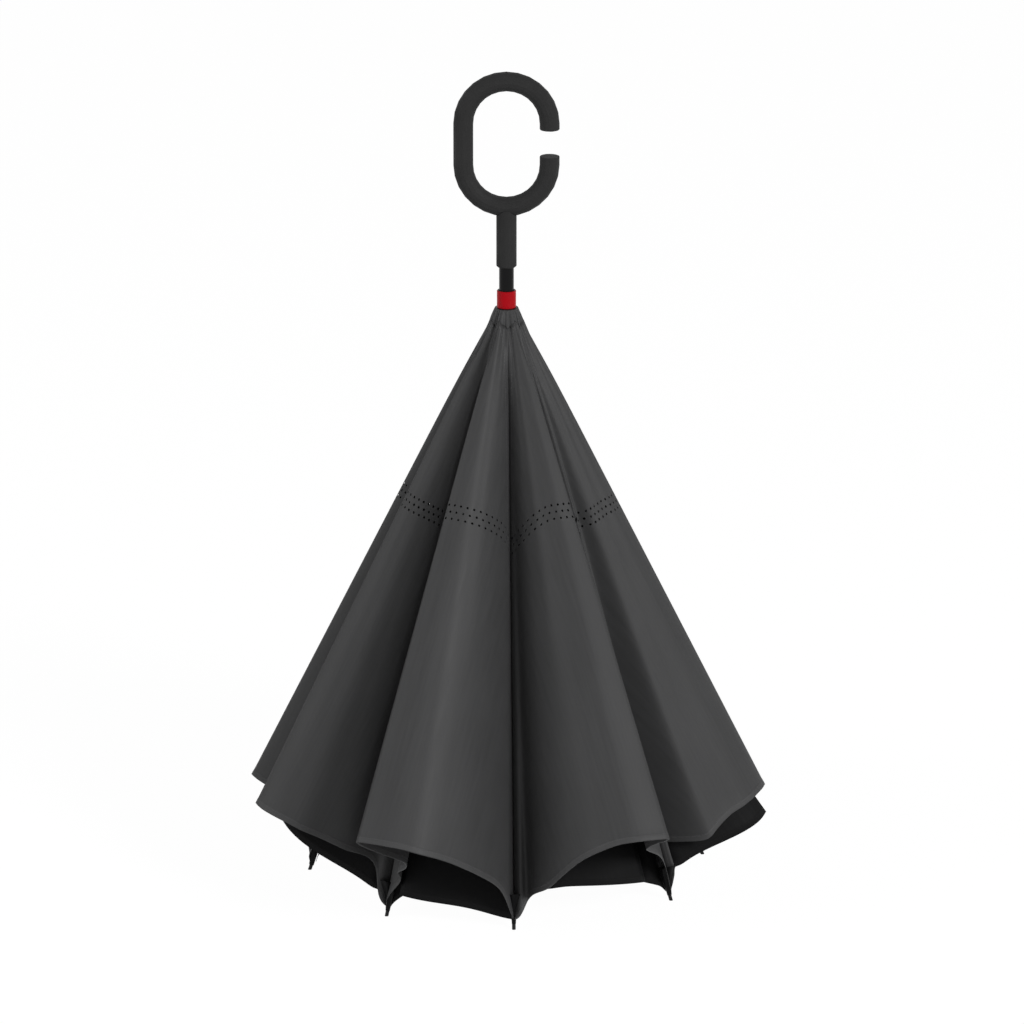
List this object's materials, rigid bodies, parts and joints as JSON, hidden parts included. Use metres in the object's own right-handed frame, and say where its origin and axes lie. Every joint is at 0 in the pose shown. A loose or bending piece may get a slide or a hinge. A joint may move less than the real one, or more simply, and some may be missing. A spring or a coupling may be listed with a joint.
{
  "type": "inverted umbrella",
  "caption": "Inverted double-layer umbrella, closed and standing on its rib tips, with a C-shaped handle, a sliding runner, folding ribs and a vented lining.",
  "frame": {"origin": "on the shaft's axis, at the level of the floor under the rib tips", "axes": "+Z along the shaft up to the handle, +X towards the mouth of the C-shaped handle, -Y towards the front rib"},
  "size_m": [0.5107, 0.5357, 0.7961],
  "materials": {
    "grip": "soft-touch rubberised coating, matte charcoal",
    "lacquer": "gloss black enamel",
    "red_collar": "satin red moulding",
    "nylon": "moulded black nylon",
    "steel": "bright spring wire",
    "fibreglass": "pultruded black fibreglass rod",
    "lining": "dark grey satin-faced polyester, fine weave",
    "canopy": "black water-repellent polyester, fine weave"
  },
  "bodies": {
    "frame": {"handle_loop": "grip", "handle_stem": "grip", "handle_stud": "steel", "handle_pin": "steel", "shaft_tube": "lacquer", "top_notch": "nylon", "notch_wire": "steel", "canopy_washer": "nylon", "top_cap": "nylon", "outer_canopy": "canopy"},
    "runner": {"runner_sleeve": "nylon", "runner_wire": "steel", "lining_ring": "nylon", "runner_collar": "red_collar", "lining_neck": "lining"},
    "catch": {"open_catch": "steel"},
    "rib_1": {"rib_1": "fibreglass", "rib_tip_1": "nylon"},
    "stretcher_1": {"stretcher_1": "fibreglass"},
    "rib_2": {"rib_2": "fibreglass", "rib_tip_2": "nylon"},
    "stretcher_2": {"stretcher_2": "fibreglass"},
    "rib_3": {"rib_3": "fibreglass", "rib_tip_3": "nylon"},
    "stretcher_3": {"stretcher_3": "fibreglass"},
    "rib_4": {"rib_4": "fibreglass", "rib_tip_4": "nylon"},
    "stretcher_4": {"stretcher_4": "fibreglass"},
    "rib_5": {"rib_5": "fibreglass", "rib_tip_5": "nylon"},
    "stretcher_5": {"stretcher_5": "fibreglass"},
    "rib_6": {"rib_6": "fibreglass", "rib_tip_6": "nylon"},
    "stretcher_6": {"stretcher_6": "fibreglass"},
    "rib_7": {"rib_7": "fibreglass", "rib_tip_7": "nylon"},
    "stretcher_7": {"stretcher_7": "fibreglass"},
    "rib_8": {"rib_8": "fibreglass", "rib_tip_8": "nylon"},
    "stretcher_8": {"stretcher_8": "fibreglass"},
    "panel_1_left": {"lining_1_left": "lining"},
    "panel_1_right": {"lining_1_right": "lining"},
    "panel_2_left": {"lining_2_left": "lining"},
    "panel_2_right": {"lining_2_right": "lining"},
    "panel_3_left": {"lining_3_left": "lining"},
    "panel_3_right": {"lining_3_right": "lining"},
    "panel_4_left": {"lining_4_left": "lining"},
    "panel_4_right": {"lining_4_right": "lining"},
    "panel_5_left": {"lining_5_left": "lining"},
    "panel_5_right": {"lining_5_right": "lining"},
    "panel_6_left": {"lining_6_left": "lining"},
    "panel_6_right": {"lining_6_right": "lining"},
    "panel_7_left": {"lining_7_left": "lining"},
    "panel_7_right": {"lining_7_right": "lining"},
    "panel_8_left": {"lining_8_left": "lining"},
    "panel_8_right": {"lining_8_right": "lining"}
  },
  "joints": [
    {"name": "runner_slide", "type": "slide", "parent": "frame", "child": "runner", "axis": [0, 0, -1], "range_m": [-0.018, 0.42853], "deforming": ["outer_canopy"]},
    {"name": "catch_press", "type": "slide", "parent": "frame", "child": "catch", "axis": [-0.4617, 0.887, 0], "range_m": [0, 0.0026], "stiffness_N_per_m": 400, "springref_m": -0.001},
    {"name": "rib_1_hinge", "type": "hinge", "parent": "runner", "child": "rib_1", "pos_m": [0.00094, -0.01076, 0.55716], "axis": [-0.9962, -0.0872, 0], "range_deg": [-3.46, 81.82], "deforming": ["lining_neck"]},
    {"name": "stretcher_1_hinge", "type": "hinge", "parent": "frame", "child": "stretcher_1", "pos_m": [0.00413, -0.01048, 0.0612], "axis": [0.9962, 0.0872, 0], "range_deg": [-2.08, 48.97]},
    {"name": "rib_2_hinge", "type": "hinge", "parent": "runner", "child": "rib_2", "pos_m": [0.00827, -0.00694, 0.55716], "axis": [-0.6428, -0.766, 0], "range_deg": [-3.46, 81.82]},
    {"name": "stretcher_2_hinge", "type": "hinge", "parent": "frame", "child": "stretcher_2", "pos_m": [0.01033, -0.00449, 0.0612], "axis": [0.6428, 0.766, 0], "range_deg": [-2.08, 48.97]},
    {"name": "rib_3_hinge", "type": "hinge", "parent": "runner", "child": "rib_3", "pos_m": [0.01076, 0.00094, 0.55716], "axis": [0.0872, -0.9962, 0], "range_deg": [-3.46, 81.82]},
    {"name": "stretcher_3_hinge", "type": "hinge", "parent": "frame", "child": "stretcher_3", "pos_m": [0.01048, 0.00413, 0.0612], "axis": [-0.0872, 0.9962, 0], "range_deg": [-2.08, 48.97]},
    {"name": "rib_4_hinge", "type": "hinge", "parent": "runner", "child": "rib_4", "pos_m": [0.00694, 0.00827, 0.55716], "axis": [0.766, -0.6428, 0], "range_deg": [-3.46, 81.82]},
    {"name": "stretcher_4_hinge", "type": "hinge", "parent": "frame", "child": "stretcher_4", "pos_m": [0.00449, 0.01033, 0.0612], "axis": [-0.766, 0.6428, 0], "range_deg": [-2.08, 48.97]},
    {"name": "rib_5_hinge", "type": "hinge", "parent": "runner", "child": "rib_5", "pos_m": [-0.00094, 0.01076, 0.55716], "axis": [0.9962, 0.0872, 0], "range_deg": [-3.46, 81.82]},
    {"name": "stretcher_5_hinge", "type": "hinge", "parent": "frame", "child": "stretcher_5", "pos_m": [-0.00413, 0.01048, 0.0612], "axis": [-0.9962, -0.0872, 0], "range_deg": [-2.08, 48.97]},
    {"name": "rib_6_hinge", "type": "hinge", "parent": "runner", "child": "rib_6", "pos_m": [-0.00827, 0.00694, 0.55716], "axis": [0.6428, 0.766, 0], "range_deg": [-3.46, 81.82]},
    {"name": "stretcher_6_hinge", "type": "hinge", "parent": "frame", "child": "stretcher_6", "pos_m": [-0.01033, 0.00449, 0.0612], "axis": [-0.6428, -0.766, 0], "range_deg": [-2.08, 48.97]},
    {"name": "rib_7_hinge", "type": "hinge", "parent": "runner", "child": "rib_7", "pos_m": [-0.01076, -0.00094, 0.55716], "axis": [-0.0872, 0.9962, 0], "range_deg": [-3.46, 81.82]},
    {"name": "stretcher_7_hinge", "type": "hinge", "parent": "frame", "child": "stretcher_7", "pos_m": [-0.01048, -0.00413, 0.0612], "axis": [0.0872, -0.9962, 0], "range_deg": [-2.08, 48.97]},
    {"name": "rib_8_hinge", "type": "hinge", "parent": "runner", "child": "rib_8", "pos_m": [-0.00694, -0.00827, 0.55716], "axis": [-0.766, 0.6428, 0], "range_deg": [-3.46, 81.82]},
    {"name": "stretcher_8_hinge", "type": "hinge", "parent": "frame", "child": "stretcher_8", "pos_m": [-0.00449, -0.01033, 0.0612], "axis": [0.766, -0.6428, 0], "range_deg": [-2.08, 48.97]},
    {"name": "panel_1_left_fold", "type": "hinge", "parent": "rib_1", "child": "panel_1_left", "pos_m": [0.00094, -0.01076, 0.55716], "axis": [-0.0331, 0.2078, 0.9776], "range_deg": [-1.75, 41.25], "deforming": ["lining_1_left"]},
    {"name": "panel_1_right_fold", "type": "hinge", "parent": "rib_2", "child": "panel_1_right", "pos_m": [0.00827, -0.00694, 0.55716], "axis": [0.1356, -0.1406, -0.9807], "range_deg": [-2.17, 51.32], "deforming": ["lining_1_right"]},
    {"name": "panel_2_left_fold", "type": "hinge", "parent": "rib_2", "child": "panel_2_left", "pos_m": [0.00827, -0.00694, 0.55716], "axis": [-0.1846, 0.0421, 0.9819], "range_deg": [-2.25, 53.07], "deforming": ["lining_2_left"]},
    {"name": "panel_2_right_fold", "type": "hinge", "parent": "rib_3", "child": "panel_2_right", "pos_m": [0.01076, 0.00094, 0.55716], "axis": [0.1311, -0.0318, -0.9909], "range_deg": [-1.67, 39.23], "deforming": ["lining_2_right"]},
    {"name": "panel_3_left_fold", "type": "hinge", "parent": "rib_3", "child": "panel_3_left", "pos_m": [0.01076, 0.00094, 0.55716], "axis": [-0.1494, -0.0789, 0.9856], "range_deg": [-2.05, 48.39], "deforming": ["lining_3_left"]},
    {"name": "panel_3_right_fold", "type": "hinge", "parent": "rib_4", "child": "panel_3_right", "pos_m": [0.00694, 0.00827, 0.55716], "axis": [0.146, 0.0776, -0.9862], "range_deg": [-1.86, 43.86], "deforming": ["lining_3_right"]},
    {"name": "panel_4_left_fold", "type": "hinge", "parent": "rib_4", "child": "panel_4_left", "pos_m": [0.00694, 0.00827, 0.55716], "axis": [-0.0504, -0.1462, 0.988], "range_deg": [-2.16, 51.04], "deforming": ["lining_4_left"]},
    {"name": "panel_4_right_fold", "type": "hinge", "parent": "rib_5", "child": "panel_4_right", "pos_m": [-0.00094, 0.01076, 0.55716], "axis": [0.0246, 0.1365, -0.9903], "range_deg": [-1.54, 36.15], "deforming": ["lining_4_right"]},
    {"name": "panel_5_left_fold", "type": "hinge", "parent": "rib_5", "child": "panel_5_left", "pos_m": [-0.00094, 0.01076, 0.55716], "axis": [0.0818, -0.166, 0.9827], "range_deg": [-2.27, 53.55], "deforming": ["lining_5_left"]},
    {"name": "panel_5_right_fold", "type": "hinge", "parent": "rib_6", "child": "panel_5_right", "pos_m": [-0.00827, 0.00694, 0.55716], "axis": [-0.0928, 0.1449, -0.9851], "range_deg": [-1.72, 40.51], "deforming": ["lining_5_right"]},
    {"name": "panel_6_left_fold", "type": "hinge", "parent": "rib_6", "child": "panel_6_left", "pos_m": [-0.00827, 0.00694, 0.55716], "axis": [0.0791, 0.0127, 0.9968], "range_deg": [-1.65, 38.82], "deforming": ["lining_6_left"]},
    {"name": "panel_6_right_fold", "type": "hinge", "parent": "rib_7", "child": "panel_6_right", "pos_m": [-0.01076, -0.00094, 0.55716], "axis": [-0.049, 0.0512, -0.9975], "range_deg": [-1.57, 36.92], "deforming": ["lining_6_right"]},
    {"name": "panel_7_left_fold", "type": "hinge", "parent": "rib_7", "child": "panel_7_left", "pos_m": [-0.01076, -0.00094, 0.55716], "axis": [0.151, 0.077, 0.9855], "range_deg": [-1.94, 45.62], "deforming": ["lining_7_left"]},
    {"name": "panel_7_right_fold", "type": "hinge", "parent": "rib_8", "child": "panel_7_right", "pos_m": [-0.00694, -0.00827, 0.55716], "axis": [-0.1123, -0.0773, -0.9907], "range_deg": [-1.81, 42.75], "deforming": ["lining_7_right"]},
    {"name": "panel_8_left_fold", "type": "hinge", "parent": "rib_8", "child": "panel_8_left", "pos_m": [-0.00694, -0.00827, 0.55716], "axis": [0.0903, 0.2243, 0.9703], "range_deg": [-3.13, 74.09], "deforming": ["lining_8_left"]},
    {"name": "panel_8_right_fold", "type": "hinge", "parent": "rib_1", "child": "panel_8_right", "pos_m": [0.00094, -0.01076, 0.55716], "axis": [-0.0108, -0.2445, -0.9696], "range_deg": [-1.39, 32.57], "deforming": ["lining_8_right"]}
  ],
  "couplings": [
    {"joint": "rib_1_hinge", "follows": "runner_slide", "rad_per_m": 3.3316},
    {"joint": "stretcher_1_hinge", "follows": "runner_slide", "rad_per_m": 1.9938},
    {"joint": "rib_2_hinge", "follows": "runner_slide", "rad_per_m": 3.3316},
    {"joint": "stretcher_2_hinge", "follows": "runner_slide", "rad_per_m": 1.9938},
    {"joint": "rib_3_hinge", "follows": "runner_slide", "rad_per_m": 3.3316},
    {"joint": "stretcher_3_hinge", "follows": "runner_slide", "rad_per_m": 1.9938},
    {"joint": "rib_4_hinge", "follows": "runner_slide", "rad_per_m": 3.3316},
    {"joint": "stretcher_4_hinge", "follows": "runner_slide", "rad_per_m": 1.9938},
    {"joint": "rib_5_hinge", "follows": "runner_slide", "rad_per_m": 3.3316},
    {"joint": "stretcher_5_hinge", "follows": "runner_slide", "rad_per_m": 1.9938},
    {"joint": "rib_6_hinge", "follows": "runner_slide", "rad_per_m": 3.3316},
    {"joint": "stretcher_6_hinge", "follows": "runner_slide", "rad_per_m": 1.9938},
    {"joint": "rib_7_hinge", "follows": "runner_slide", "rad_per_m": 3.3316},
    {"joint": "stretcher_7_hinge", "follows": "runner_slide", "rad_per_m": 1.9938},
    {"joint": "rib_8_hinge", "follows": "runner_slide", "rad_per_m": 3.3316},
    {"joint": "stretcher_8_hinge", "follows": "runner_slide", "rad_per_m": 1.9938},
    {"joint": "panel_1_left_fold", "follows": "runner_slide", "rad_per_m": 1.679},
    {"joint": "panel_1_right_fold", "follows": "runner_slide", "rad_per_m": 2.0893},
    {"joint": "panel_2_left_fold", "follows": "runner_slide", "rad_per_m": 2.1606},
    {"joint": "panel_2_right_fold", "follows": "runner_slide", "rad_per_m": 1.5971},
    {"joint": "panel_3_left_fold", "follows": "runner_slide", "rad_per_m": 1.9699},
    {"joint": "panel_3_right_fold", "follows": "runner_slide", "rad_per_m": 1.7855},
    {"joint": "panel_4_left_fold", "follows": "runner_slide", "rad_per_m": 2.0781},
    {"joint": "panel_4_right_fold", "follows": "runner_slide", "rad_per_m": 1.4714},
    {"joint": "panel_5_left_fold", "follows": "runner_slide", "rad_per_m": 2.1804},
    {"joint": "panel_5_right_fold", "follows": "runner_slide", "rad_per_m": 1.6492},
    {"joint": "panel_6_left_fold", "follows": "runner_slide", "rad_per_m": 1.5802},
    {"joint": "panel_6_right_fold", "follows": "runner_slide", "rad_per_m": 1.503},
    {"joint": "panel_7_left_fold", "follows": "runner_slide", "rad_per_m": 1.8572},
    {"joint": "panel_7_right_fold", "follows": "runner_slide", "rad_per_m": 1.7402},
    {"joint": "panel_8_left_fold", "follows": "runner_slide", "rad_per_m": 3.0169},
    {"joint": "panel_8_right_fold", "follows": "runner_slide", "rad_per_m": 1.3258}
  ]
}
